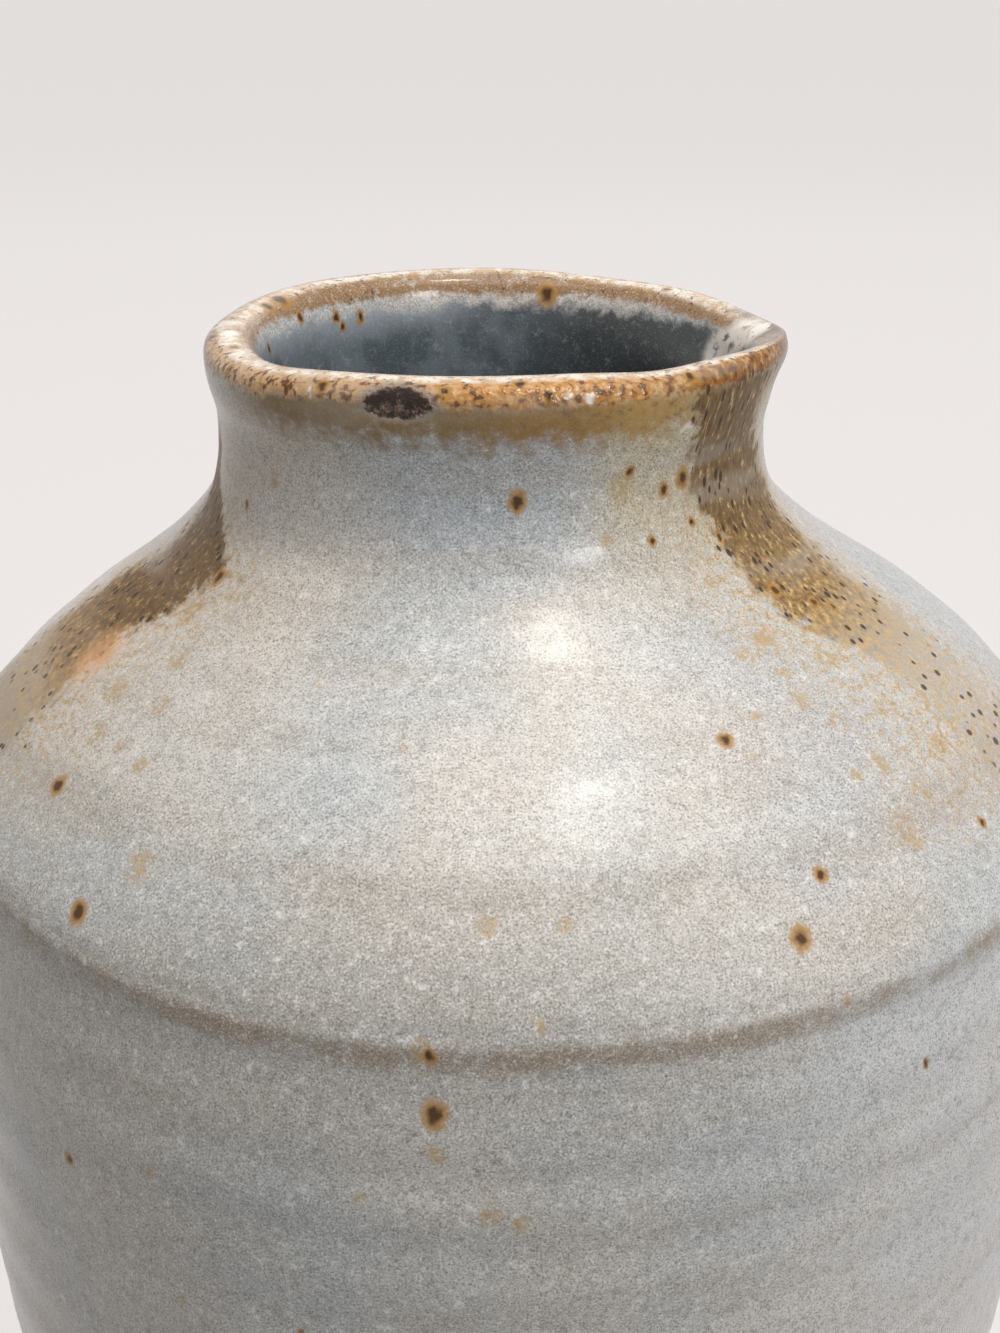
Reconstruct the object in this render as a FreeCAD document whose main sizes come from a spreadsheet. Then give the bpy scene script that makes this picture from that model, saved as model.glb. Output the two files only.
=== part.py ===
import FreeCAD, Part
import os
import Sketcher

os.makedirs("parts", exist_ok=True)

# A Korean moon jar of thrown and luted stoneware. Two thrown bowls meet at the belly ridge, a collar of clay is
# thrown on the shoulder, and a turned foot ring carries the jar. A thin layer of slip glues each seam, and a coil
# of clay is pressed over the belly seam inside.
# Millimetres, +Z up. The origin is the middle of the circle on which the foot ring stands.

# Sizes
SIZES = {
    "foot_ring_radius": 46.5,
    "foot_ring_width": 7.5,
    "foot_ring_height": 8.0,
    "foot_ring_taper": 1.2,
    "foot_ring_bevel": 1.0,
    "foot_well_depth": 1.5,
    "slip_thickness": 0.6,
    "base_radius": 48.5,
    "floor_thickness": 8.0,
    "lower_bowl_height": 125.4,
    "lower_wall": 6.5,
    "belly_radius": 84.6,
    "belly_seam_radius": 82.4,
    "belly_seam_wall": 8.0,
    "belly_lap_height": 1.6,
    "coil_height": 8.0,
    "coil_depth": 1.2,
    "coil_bulge": 3.2,
    "coil_clearance": 0.1,
    "upper_bowl_height": 37.4,
    "neck_seam_radius": 43.5,
    "neck_seam_wall": 6.4,
    "neck_lap_height": 1.4,
    "neck_height": 27.4,
    "neck_draw_in": 5.7,
    "neck_waist_wall": 5.6,
    "lip_flare": 3.5,
    "lip_crest_inset": 4.3,
    "lip_width": 9.2,
    "lip_height": 7.4,
}


class Length:
    """A length together with the spreadsheet formula that works it out."""

    def __init__(self, value, formula):
        self.value = value
        self.formula = formula

    def __add__(self, other):
        return Length(self.value + other.value, f"({self.formula} + {other.formula})")

    def __sub__(self, other):
        return Length(self.value - other.value, f"({self.formula} - {other.formula})")

    def __mul__(self, share):
        return Length(self.value * share, f"({self.formula} * {share})")


def between(start, end, share):
    """The length at a share of the way from one length to another."""
    return start + (end - start) * share


def steered(start, end, shares):
    """Points that steer a curve, at shares of the way across and up from one corner to another."""
    return [(between(start[0], end[0], across), between(start[1], end[1], up)) for across, up in shares]


document = FreeCAD.newDocument("moon_jar")
sheet = document.addObject("Spreadsheet::Sheet", "Sizes")
for row, (alias, value) in enumerate(SIZES.items(), start=1):
    sheet.set(f"A{row}", alias)
    sheet.set(f"B{row}", str(value))
    sheet.setAlias(f"B{row}", alias)
document.recompute()

size = {alias: Length(value, f"Sizes.{alias}") for alias, value in SIZES.items()}
zero = Length(0, "0")


# Drawing
def place_point(sketch, geometry, position, point):
    """Ties one point of a sketch to its distance from the axis and to its height."""
    for kind, axis, distance in (("DistanceX", -2, point[0]), ("DistanceY", -1, point[1])):
        if distance is zero:
            sketch.addConstraint(Sketcher.Constraint("PointOnObject", geometry, position, axis))
            continue
        index = sketch.addConstraint(Sketcher.Constraint(kind, -1, 1, geometry, position, distance.value))
        sketch.setExpression(f"Constraints[{index}]", distance.formula)


def draw_outline(sketch, runs):
    """Draws a closed outline. A run of two points is straight. A longer run is a smooth curve: it starts and ends
    at its outer points, and the points between them steer it."""
    geometries = []
    for run in runs:
        points = [FreeCAD.Vector(across.value, up.value, 0) for across, up in run]
        if len(run) == 2:
            geometries.append(sketch.addGeometry(Part.LineSegment(*points), False))
            continue
        degree = min(3, len(points) - 1)
        curve = Part.BSplineCurve(points, None, None, False, degree, None, False)
        geometries.append(sketch.addGeometry(curve, False))
        first_pole = sketch.GeometryCount
        sketch.exposeInternalGeometry(geometries[-1])
        for offset, point in enumerate(run[1:-1], start=1):
            place_point(sketch, first_pole + offset, 3, point)
    for index, geometry in enumerate(geometries):
        sketch.addConstraint(Sketcher.Constraint("Coincident", geometries[index - 1], 2, geometry, 1))
        place_point(sketch, geometry, 1, runs[index][0])


def straight_runs(corners, closed=False):
    """Straight runs from each corner to the next, and back to the first where the outline closes."""
    ends = corners[1:] + (corners[:1] if closed else [])
    return [[start, end] for start, end in zip(corners, ends)]


def turned_piece(name, height, runs):
    """A piece of clay turned about the jar's axis, at its own height above the ground."""
    body = document.addObject("PartDesign::Body", name)
    body.Label = name
    sketch = body.newObject("Sketcher::SketchObject", f"{name}_outline")
    upright_plane = next(plane for plane in body.Origin.OriginFeatures if plane.Role == "XZ_Plane")
    sketch.AttachmentSupport = [(upright_plane, "")]
    sketch.MapMode = "FlatFace"
    draw_outline(sketch, runs)
    turned = body.newObject("PartDesign::Revolution", f"{name}_turned")
    turned.Profile = sketch
    turned.ReferenceAxis = (sketch, ["V_Axis"])
    turned.Angle = 360
    body.Tip = turned
    body.setExpression(".Placement.Base.z", height.formula)
    document.recompute()
    return body


# Heights of the seams above the ground
foot_seam = size["foot_ring_height"]
lower_bowl_base = foot_seam + size["slip_thickness"]
belly_seam = lower_bowl_base + size["lower_bowl_height"]
upper_bowl_base = belly_seam + size["slip_thickness"]
neck_seam = upper_bowl_base + size["upper_bowl_height"]
neck_base = neck_seam + size["slip_thickness"]

# Radii on the seams. At the belly and the neck the inner half of the lower rim stands up inside the upper rim.
foot_ring_inside = size["foot_ring_radius"] - size["foot_ring_width"]
lap_share = 0.5
belly_inside = size["belly_seam_radius"] - size["belly_seam_wall"]
belly_step = size["belly_seam_radius"] - size["belly_seam_wall"] * lap_share
belly_step_cover = belly_step + size["slip_thickness"]
neck_inside = size["neck_seam_radius"] - size["neck_seam_wall"]
neck_step = size["neck_seam_radius"] - size["neck_seam_wall"] * lap_share
neck_step_cover = neck_step + size["slip_thickness"]

# The seat of the pressed coil: a shallow groove that runs round the inside of the belly seam.
# The coil's middle is level with the middle of the slip on the inner half of the lap.
middle_share = 0.5
coil_seat = belly_inside + size["coil_depth"]
coil_middle = belly_seam + size["belly_lap_height"] + size["slip_thickness"] * middle_share
coil_base = coil_middle - size["coil_height"] * middle_share
coil_top = coil_base + size["coil_height"]


def slip_layer(name, height, inside, step, outside, lap_height):
    """Slip on a lapped seam: flat on the outer half, up the step, and flat on the inner half."""
    thickness = size["slip_thickness"]
    corners = [
        (outside, zero),
        (outside, thickness),
        (step + thickness, thickness),
        (step + thickness, lap_height + thickness),
        (inside, lap_height + thickness),
        (inside, lap_height),
        (step, lap_height),
        (step, zero),
    ]
    return turned_piece(name, height, straight_runs(corners, closed=True))


# Foot ring: a turned ring of clay that narrows to the ground, with both lower edges bevelled.
foot_corners = [
    (foot_ring_inside, zero),
    (size["foot_ring_radius"] - size["foot_ring_taper"], zero),
    (size["foot_ring_radius"], size["foot_ring_height"]),
    (foot_ring_inside, size["foot_ring_height"]),
]
foot_ring = turned_piece("foot_ring", zero, straight_runs(foot_corners, closed=True))
foot_turned = foot_ring.Tip
ground_edges = [
    f"Edge{number}"
    for number, edge in enumerate(foot_turned.Shape.Edges, start=1)
    if edge.BoundBox.ZMax < SIZES["foot_ring_bevel"]
]
foot_bevel = foot_ring.newObject("PartDesign::Chamfer", "foot_ring_bevels")
foot_bevel.Base = (foot_turned, ground_edges)
foot_bevel.setExpression("Size", "Sizes.foot_ring_bevel")
foot_ring.Tip = foot_bevel
document.recompute()

# Foot slip: the flat layer between the ring and the lower bowl.
foot_slip_corners = [
    (foot_ring_inside, zero),
    (size["foot_ring_radius"], zero),
    (size["foot_ring_radius"], size["slip_thickness"]),
    (foot_ring_inside, size["slip_thickness"]),
]
foot_slip = turned_piece("foot_slip", foot_seam, straight_runs(foot_slip_corners, closed=True))

# Lower bowl: floor and wall of the belly, thrown deep, with a step on its rim and a seat for the coil inside.
# The outer curve follows the belly's radius and the bowl's height.
lower_outer_shares = [
    (0.745, 0.05),
    (0.912, 0.175),
    (0.969, 0.34),
    (0.983, 0.535),
    (0.993, 0.7),
    (1.0, 0.84),
    (0.98, 0.95),
]
# The inner curve follows the belly's inner radius and the height from the floor to the coil's seat.
lower_inner_shares = [
    (0.975, 0.93),
    (1.0, 0.82),
    (0.992, 0.67),
    (0.982, 0.49),
    (0.962, 0.285),
    (0.888, 0.105),
    (0.7, 0.012),
    (0.36, 0),
]
# The well inside the foot ring is shallowly domed.
foot_well_shares = [(0.5, 1)]
lower_floor = size["foot_well_depth"] + size["floor_thickness"]
lower_rim = size["lower_bowl_height"]
lower_step_top = lower_rim + size["belly_lap_height"]
lower_coil_seat = coil_base - lower_bowl_base
belly_inner_radius = size["belly_radius"] - size["lower_wall"]
lower_outer_curve = steered((zero, zero), (size["belly_radius"], lower_rim), lower_outer_shares)
lower_inner_curve = steered((zero, lower_floor), (belly_inner_radius, lower_coil_seat), lower_inner_shares)
foot_well_curve = steered((zero, zero), (foot_ring_inside, size["foot_well_depth"]), foot_well_shares)
lower_rim_corners = [
    (size["belly_seam_radius"], lower_rim),
    (belly_step, lower_rim),
    (belly_step, lower_step_top),
    (coil_seat, lower_step_top),
    (coil_seat, lower_coil_seat),
    (belly_inside, lower_coil_seat),
]
lower_bowl = turned_piece(
    "lower_bowl",
    lower_bowl_base,
    [
        [(zero, size["foot_well_depth"]), *foot_well_curve, (foot_ring_inside, zero)],
        [(foot_ring_inside, zero), (size["base_radius"], zero)],
        [(size["base_radius"], zero), *lower_outer_curve, (size["belly_seam_radius"], lower_rim)],
        *straight_runs(lower_rim_corners),
        [(belly_inside, lower_coil_seat), *lower_inner_curve, (zero, lower_floor)],
        [(zero, lower_floor), (zero, size["foot_well_depth"])],
    ],
)

# Belly slip: the layer between the two bowls, seen outside only as the brown belly line.
belly_slip = slip_layer(
    "belly_slip", belly_seam, coil_seat, belly_step, size["belly_seam_radius"], size["belly_lap_height"]
)

# Belly coil: a coil of clay pressed over the seam inside, flat where it sits in its groove and rounded inwards.
coil_height = size["coil_height"]
coil_back = coil_seat - size["coil_clearance"]
coil_front = belly_inside - size["coil_bulge"]
coil_shares = [(1, 0.95), (1, 0.05)]
coil_curve = steered((belly_inside, zero), (coil_front, coil_height), coil_shares)
belly_coil = turned_piece(
    "belly_coil",
    coil_base,
    [
        [(belly_inside, zero), (coil_back, zero)],
        [(coil_back, zero), (coil_back, coil_height)],
        [(coil_back, coil_height), (belly_inside, coil_height)],
        [(belly_inside, coil_height), *coil_curve, (belly_inside, zero)],
    ],
)

# Upper bowl: the shoulder, thrown upside down as a shallow bowl, opened at the top for the neck.
# Both curves run from the belly's radius to the neck's, over the bowl's height.
upper_outer_shares = [
    (0.975, 0.1),
    (0.864, 0.28),
    (0.64, 0.512),
    (0.314, 0.735),
    (0.1, 0.885),
]
upper_inner_shares = [
    (0.045, 0.91),
    (0.18, 0.76),
    (0.46, 0.6),
    (0.75, 0.39),
    (0.95, 0.22),
]
upper_rim = size["upper_bowl_height"]
upper_step_top = upper_rim + size["neck_lap_height"]
upper_coil_seat = coil_top - upper_bowl_base
upper_outer_curve = steered(
    (size["neck_seam_radius"], zero), (size["belly_seam_radius"], upper_rim), upper_outer_shares
)
upper_inner_curve = steered((neck_inside, zero), (belly_inside, upper_rim), upper_inner_shares)
upper_rim_corners = [
    (size["neck_seam_radius"], upper_rim),
    (neck_step, upper_rim),
    (neck_step, upper_step_top),
    (neck_inside, upper_step_top),
]
upper_foot_corners = [
    (belly_inside, upper_coil_seat),
    (coil_seat, upper_coil_seat),
    (coil_seat, size["belly_lap_height"]),
    (belly_step_cover, size["belly_lap_height"]),
    (belly_step_cover, zero),
    (size["belly_seam_radius"], zero),
]
upper_bowl = turned_piece(
    "upper_bowl",
    upper_bowl_base,
    [
        [(size["belly_seam_radius"], zero), *upper_outer_curve, (size["neck_seam_radius"], upper_rim)],
        *straight_runs(upper_rim_corners),
        [(neck_inside, upper_step_top), *upper_inner_curve, (belly_inside, upper_coil_seat)],
        *straight_runs(upper_foot_corners),
    ],
)

# Neck slip: the layer between the shoulder and the collar.
neck_slip = slip_layer(
    "neck_slip", neck_seam, neck_inside, neck_step, size["neck_seam_radius"], size["neck_lap_height"]
)

# Neck collar: thrown from a ring of clay on the shoulder, drawn in at the waist and rolled out to a thick lip.
neck_crest = size["neck_height"]
lip_base = neck_crest - size["lip_height"]
neck_waist = size["neck_seam_radius"] - size["neck_draw_in"]
neck_waist_inside = neck_waist - size["neck_waist_wall"]
lip_outside = neck_waist + size["lip_flare"]
lip_crest = lip_outside - size["lip_crest_inset"]
lip_inside = lip_outside - size["lip_width"]
# Outside, the neck draws in from the seam to the waist, flares to the lip and rolls over it. Inside, the lip rolls
# down to the waist, which opens into the shoulder.
neck_draw_shares = [(0.55, 0.13), (0.15, 0.33)]
neck_flare_shares = [(0.05, 0.57), (0.17, 0.8), (0.6, 0.96)]
lip_outer_shares = [(1.02, 0.5), (0.93, 1)]
lip_inner_shares = [(0.6, 1), (1, 0.5)]
neck_inner_shares = [(0, 0.65), (0.15, 0.38), (0.7, 0.2)]
neck_outer_curve = [
    *steered((neck_waist, zero), (size["neck_seam_radius"], lip_base), neck_draw_shares),
    *steered((neck_waist, zero), (lip_outside, lip_base), neck_flare_shares),
    *steered((lip_crest, lip_base), (lip_outside, neck_crest), lip_outer_shares),
]
neck_inner_curve = [
    *steered((lip_crest, lip_base), (lip_inside, neck_crest), lip_inner_shares),
    *steered((neck_waist_inside, zero), (neck_inside, lip_base), neck_inner_shares),
]
neck_foot_corners = [
    (neck_inside, size["neck_lap_height"]),
    (neck_step_cover, size["neck_lap_height"]),
    (neck_step_cover, zero),
    (size["neck_seam_radius"], zero),
]
neck_collar = turned_piece(
    "neck_collar",
    neck_base,
    [
        [(size["neck_seam_radius"], zero), *neck_outer_curve, (lip_crest, neck_crest)],
        [(lip_crest, neck_crest), *neck_inner_curve, (neck_inside, size["neck_lap_height"])],
        *straight_runs(neck_foot_corners),
    ],
)

# Checks and files
document.recompute()
pieces = [foot_ring, foot_slip, lower_bowl, belly_slip, belly_coil, upper_bowl, neck_slip, neck_collar]
for item in document.Objects:
    if "Invalid" in item.State or "Error" in item.State:
        raise RuntimeError(f"{item.Name} failed: {item.State}")
for piece in pieces:
    if piece.Shape.isNull() or not piece.Shape.isValid() or len(piece.Shape.Solids) != 1:
        raise RuntimeError(f"{piece.Label} is not one valid solid")
    piece.Shape.exportStep(f"parts/{piece.Label}.step")
    print(f"{piece.Label}: {piece.Shape.Volume / 1000:.2f} cm3, top at {piece.Shape.BoundBox.ZMax:.2f} mm")
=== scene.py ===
import math

import bmesh
import bpy
from mathutils import Euler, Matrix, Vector
from mathutils.bvhtree import BVHTree


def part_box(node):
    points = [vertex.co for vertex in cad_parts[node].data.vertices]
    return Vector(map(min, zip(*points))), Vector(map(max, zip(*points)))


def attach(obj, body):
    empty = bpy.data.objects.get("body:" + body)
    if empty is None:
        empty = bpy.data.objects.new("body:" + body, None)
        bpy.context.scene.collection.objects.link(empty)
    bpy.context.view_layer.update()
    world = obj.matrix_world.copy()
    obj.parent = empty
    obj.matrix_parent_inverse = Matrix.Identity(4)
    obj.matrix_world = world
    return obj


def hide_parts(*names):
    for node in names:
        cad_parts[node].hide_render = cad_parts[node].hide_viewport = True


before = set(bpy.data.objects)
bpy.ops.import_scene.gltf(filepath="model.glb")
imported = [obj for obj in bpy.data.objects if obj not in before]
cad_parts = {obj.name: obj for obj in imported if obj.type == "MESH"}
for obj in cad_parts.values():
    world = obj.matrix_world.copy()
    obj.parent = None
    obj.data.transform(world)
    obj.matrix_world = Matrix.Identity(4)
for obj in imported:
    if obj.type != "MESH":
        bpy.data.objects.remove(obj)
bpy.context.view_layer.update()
mm = 0.001

# Camera
# It stands close to the jar and looks down past the lip, so that the mouth shows and the foot is below
# the picture.
photo_width, photo_height = 1000, 1333
camera_lens, film_length = 50, 36
camera_place = Vector((-0.76, -257.0, 251.8)) * mm
camera_turn = Euler((math.radians(67.85), 0, 0))
camera_data = bpy.data.cameras.new("camera")
camera_data.lens = camera_lens
camera_data.sensor_width = film_length
camera_data.clip_start = 5 * mm
camera = bpy.data.objects.new("camera", camera_data)
camera.location = camera_place
camera.rotation_euler = camera_turn
bpy.context.scene.collection.objects.link(camera)
bpy.context.scene.camera = camera
bpy.context.scene.view_settings.view_transform = "Standard"


def ray_through(across, down):
    """The direction in which the camera sees a pixel of the photograph."""
    reach = camera_lens / film_length * photo_height
    aim = Vector((across - photo_width / 2, photo_height / 2 - down, -reach))
    return (camera_turn.to_matrix() @ aim).normalized()


# Studio
# A pale floor that fades into a pale surround, a wide soft lamp overhead with a small warm one below it, a
# cool window to the front right, and weak lamps that fill the left and the back.
def fired(red, green, blue):
    """A colour as the eye reads it, 0 to 255, in the renderer's own linear numbers."""
    shares = (value / 255 for value in (red, green, blue))
    return (*(s / 12.92 if s <= 0.04045 else ((s + 0.055) / 1.055) ** 2.4 for s in shares), 1)


class Flow:
    """One output of a material's node. Arithmetic on it adds Math nodes."""

    def __init__(self, finish, socket):
        self.finish = finish
        self.socket = socket

    def math(self, operation, *others):
        sockets = dict(enumerate((self, *others)))
        return self.finish.node("ShaderNodeMath", {"operation": operation}, sockets)

    def __add__(self, other):
        return self.math("ADD", other)

    def __sub__(self, other):
        return self.math("SUBTRACT", other)

    def __rsub__(self, other):
        return self.math("MULTIPLY_ADD", -1, other)

    def __mul__(self, other):
        return self.math("MULTIPLY", other)

    def __truediv__(self, other):
        return self.math("DIVIDE", other)

    __radd__ = __add__
    __rmul__ = __mul__


class Finish:
    """A node material, or the world, in the making."""

    def __init__(self, shelf, name):
        self.owner = shelf.new(name)
        self.owner.use_nodes = True
        self.tree = self.owner.node_tree

    def node(self, kind, settings, sockets, output=0):
        """Adds a node: its settings first, then the values or flows of its sockets."""
        made = self.tree.nodes.new(kind)
        for setting, value in settings.items():
            setattr(made, setting, value)
        self.feed(made, sockets)
        return Flow(self, made.outputs[output])

    def feed(self, node, sockets):
        for key, value in sockets.items():
            if isinstance(value, Flow):
                self.tree.links.new(value.socket, node.inputs[key])
            else:
                node.inputs[key].default_value = value


background_tone = fired(254, 249, 247)
pale_floor, floor_clay = fired(236, 232, 229), fired(156, 154, 152)
floor_reach = 6000 * mm
lit_share = 0.15
floor_glow = 0.895
view_strength = 0.77
surround_strength = 0.09
surround_tone = (0.93, 0.96, 1, 1)

surround = Finish(bpy.data.worlds, "studio")
bpy.context.scene.world = surround.owner
seen = surround.node("ShaderNodeLightPath", {}, {}, "Is Camera Ray")
mirrored = surround.node("ShaderNodeLightPath", {}, {}, "Is Glossy Ray")
passed = surround.node("ShaderNodeLightPath", {}, {}, "Is Transmission Ray")
background = "ShaderNodeBackground"
surround_light = surround.node(background, {}, {"Color": surround_tone, "Strength": surround_strength})
surround_view = surround.node(background, {}, {"Color": background_tone, "Strength": view_strength})
shown = seen.math("MAXIMUM", mirrored).math("MAXIMUM", passed)
surround_mix = surround.node("ShaderNodeMixShader", {}, {0: shown, 1: surround_light, 2: surround_view})
surround.feed(surround.tree.nodes["World Output"], {"Surface": surround_mix})

floor_mesh = bpy.data.meshes.new("floor")
floor_form = bmesh.new()
bmesh.ops.create_grid(floor_form, x_segments=1, y_segments=1, size=floor_reach)
floor_form.to_mesh(floor_mesh)
floor_form.free()
floor = bpy.data.objects.new("floor", floor_mesh)
bpy.context.scene.collection.objects.link(floor)

floor_finish = Finish(bpy.data.materials, "floor")
seen = floor_finish.node("ShaderNodeLightPath", {}, {}, "Is Camera Ray")
mirrored = floor_finish.node("ShaderNodeLightPath", {}, {}, "Is Glossy Ray")
floor_tones = {0: seen, 6: floor_clay, 7: pale_floor}
floor_tone = floor_finish.node("ShaderNodeMix", {"data_type": "RGBA"}, floor_tones, 2)
floor_light = floor_finish.node("ShaderNodeBsdfDiffuse", {}, {"Color": floor_tone})
floor_view = floor_finish.node("ShaderNodeEmission", {}, {"Color": background_tone, "Strength": floor_glow})
shown = seen.math("MAXIMUM", mirrored) * (1 - lit_share)
floor_mix = floor_finish.node("ShaderNodeMixShader", {}, {0: shown, 1: floor_light, 2: floor_view})
floor_finish.feed(floor_finish.tree.nodes["Material Output"], {"Surface": floor_mix})
floor_mesh.materials.append(floor_finish.owner)

lamp_aim_height = 160 * mm


def studio_lamp(name, bearing, height_angle, distance, width, depth, power, tone):
    """A soft flat lamp that faces the jar's shoulder. Its bearing counts from the camera to the right."""
    lamp_data = bpy.data.lights.new(name, "AREA")
    lamp_data.shape = "RECTANGLE"
    lamp_data.size, lamp_data.size_y = width, depth
    lamp_data.energy = power
    lamp_data.color = tone
    bearing, height_angle = math.radians(bearing), math.radians(height_angle)
    level = math.cos(height_angle)
    aim = Vector((level * math.sin(bearing), -level * math.cos(bearing), math.sin(height_angle)))
    lamp = bpy.data.objects.new(name, lamp_data)
    lamp.location = Vector((0, 0, lamp_aim_height)) + aim * distance
    lamp.rotation_euler = aim.to_track_quat("Z", "Y").to_euler()
    bpy.context.scene.collection.objects.link(lamp)


studio_lamp("soft_ceiling", 42, 78, 1.35, 1.2, 1.2, 12.1, (1, 0.98, 0.96))
studio_lamp("warm_top_lamp", 42, 72, 1.05, 0.17, 0.09, 2.3, (1, 0.9, 0.78))
studio_lamp("cool_window", 36, 26, 1.4, 0.26, 0.34, 6.0, (0.93, 0.97, 1))
studio_lamp("left_fill", -72, 36, 1.3, 0.9, 0.9, 1.35, (1, 0.97, 0.93))
studio_lamp("back_fill", 176, 32, 1.5, 1.2, 0.9, 3.6, (1, 0.99, 0.97))
studio_lamp("warm_back_lamp", -143, 12, 1.2, 0.12, 0.12, 0.1, (1, 0.6, 0.36))

# Foot ring
# A ring of the bare body clay, turned on the wheel under the bowl when it was leather hard. Its faces keep
# the tool's lines, and its ground edge is bevelled and worn smooth.
foot_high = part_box("foot_ring")[1]
foot_radius, foot_seam = foot_high.x, foot_high.z
foot_inside = foot_radius - 7.5 * mm
foot_taper = 1.2 * mm
foot_bevel = 1.0 * mm
foot_worn = 0.3 * mm

# Where the hands left the jar: heights in millimetres and bearings in degrees
foot_end, wall_start = 9, 49
two_sided, four_sided = 0.14, 0.07
neck_start, neck_end, neck_lean = 152, 184, -2.2
lip_start, lip_top, lip_return = 184, 200, 0.6
ridge_height, ridge_spread = 134, 30
ridge_rise, rise_bearing, rise_spread, rise_reach = 3.1, -66, 26, 9


def share(value, start, end):
    """How far a value has come from start to end, held between 0 and 1."""
    return min(max((value - start) / (end - start), 0), 1)


def eased(value, start, end):
    """The same share with a soft start and a soft end."""
    way = share(value, start, end)
    return way * way * (3 - 2 * way)


def hill(value, middle, spread):
    """1 at the middle, and falling away smoothly to both sides."""
    return math.exp(-(((value - middle) / spread) ** 2))


def hand_set(place):
    """Where the potter's hands left a point of the ideal jar. Nothing moves outwards at the belly."""
    bearing = math.atan2(place.x, -place.y)
    height = place.z / mm
    radius = math.hypot(place.x, place.y) / mm
    squeeze = two_sided * (1 + math.cos(2 * bearing + 0.7)) + four_sided * (1 + math.cos(4 * bearing - 1.1))
    shrunk = 1 - share(height, foot_end, wall_start) * squeeze / max(radius, 40)
    lean = neck_lean * eased(height, neck_start, neck_end) + lip_return * share(height, lip_start, lip_top)
    wave = 0.35 * math.sin(bearing - 0.6) + 0.12 * math.sin(4 * bearing + 1)
    across_rise = (math.degrees(bearing) - rise_bearing) / rise_spread
    from_rise = math.hypot(across_rise, (height - ridge_height) / rise_reach)
    tilt = hill(height, ridge_height, ridge_spread) * wave + ridge_rise * hill(from_rise, 0, 1)
    return Vector((place.x * shrunk + lean * mm, place.y * shrunk, place.z + tilt * mm))


def straight(*corners):
    """Straight runs of an outline from corner to corner."""
    return [([start, end], []) for start, end in zip(corners, corners[1:])]


def swelling(rings, height):
    """How far the rings of the fingers push the wall out at a height."""
    return sum(swell * hill(height, middle, spread) for middle, spread, swell in rings)


# One wedge of the jar is spun in small steps and then copied round the axis
wedges, wedge_sides = 20, 16
fine_step = 0.62 * mm
run_merge, seam_merge = 0.02 * mm, 0.004 * mm
sharp_edge = math.radians(40)


def turned_piece(name, runs, shape=hand_set, step=fine_step):
    """A piece turned about the jar's axis. Each run of its outline is straight between two points, or a curve
    that more points steer. It may carry rings that the fingers left, as height, half width and swell."""
    outline = bmesh.new()
    for points, rings in runs:
        curve = bpy.data.curves.new(name, "CURVE")
        curve.dimensions = "3D"
        spline = curve.splines.new("NURBS")
        spline.points.add(len(points) - 1)
        for point, (radius, height) in zip(spline.points, points):
            point.co = (radius, 0, height, 1)
        spline.order_u = min(4, len(points))
        spline.use_endpoint_u = True
        length = sum(math.dist(start, end) for start, end in zip(points, points[1:]))
        spline.resolution_u = max(2, round(length / step / (len(points) - 1)))
        drawn = bpy.data.objects.new(name, curve)
        sampled = bpy.data.meshes.new_from_object(drawn)
        known = len(outline.verts)
        outline.from_mesh(sampled)
        outline.verts.ensure_lookup_table()
        for vert in outline.verts[known:]:
            vert.co.x += swelling(rings, vert.co.z)
        bpy.data.objects.remove(drawn)
        bpy.data.curves.remove(curve)
        bpy.data.meshes.remove(sampled)
    bmesh.ops.remove_doubles(outline, verts=outline.verts, dist=run_merge)
    wedge = math.tau / wedges
    for angle, steps, copies in ((wedge, wedge_sides, False), (math.tau - wedge, wedges - 1, True)):
        bmesh.ops.spin(
            outline,
            geom=outline.verts[:] + outline.edges[:] + outline.faces[:],
            axis=(0, 0, 1),
            angle=angle,
            steps=steps,
            use_merge=False,
            use_duplicate=copies,
        )
    bmesh.ops.remove_doubles(outline, verts=outline.verts, dist=seam_merge)
    bmesh.ops.recalc_face_normals(outline, faces=outline.faces)
    for face in outline.faces:
        face.smooth = True
    for edge in outline.edges:
        edge.smooth = edge.calc_face_angle(0) < sharp_edge
    for vert in outline.verts:
        vert.co = shape(vert.co)
    mesh = bpy.data.meshes.new(name)
    outline.to_mesh(mesh)
    outline.free()
    piece = bpy.data.objects.new(name, mesh)
    bpy.context.scene.collection.objects.link(piece)
    return piece


def keep(piece, node):
    """The piece stands for its solid in the frame: it hangs under the root body, and the solid is hidden."""
    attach(piece, "root")
    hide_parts(node)


turning_lines = [((2.2 + 1.15 * line) * mm, 0.28 * mm, -0.07 * mm) for line in range(5)]
foot_outside = foot_radius - foot_taper
foot_ring = turned_piece(
    "turned_foot_ring",
    [
        *straight((foot_inside + foot_bevel, 0), (foot_outside - foot_bevel, 0)),
        (
            [(foot_outside - foot_bevel, 0), (foot_outside - foot_worn, 0), (foot_outside, foot_bevel),
             (foot_outside + foot_taper / 4, foot_bevel * 2), (foot_radius, foot_seam)],
            turning_lines,
        ),
        *straight((foot_radius, foot_seam), (foot_inside, foot_seam)),
        (
            [(foot_inside, foot_seam), (foot_inside, foot_bevel * 2), (foot_inside, foot_bevel),
             (foot_inside + foot_worn, 0), (foot_inside + foot_bevel, 0)],
            turning_lines,
        ),
    ],
)

bare_clay = Finish(bpy.data.materials, "bare_stoneware")


def place_in_mm(finish):
    """The place on the jar in millimetres, as a vector and as its three numbers."""
    place = finish.node("ShaderNodeTexCoord", {}, {}, "Object")
    place = finish.node("ShaderNodeVectorMath", {"operation": "SCALE"}, {0: place, "Scale": 1 / mm})
    return place, [finish.node("ShaderNodeSeparateXYZ", {}, {0: place}, axis) for axis in "XYZ"]


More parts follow.
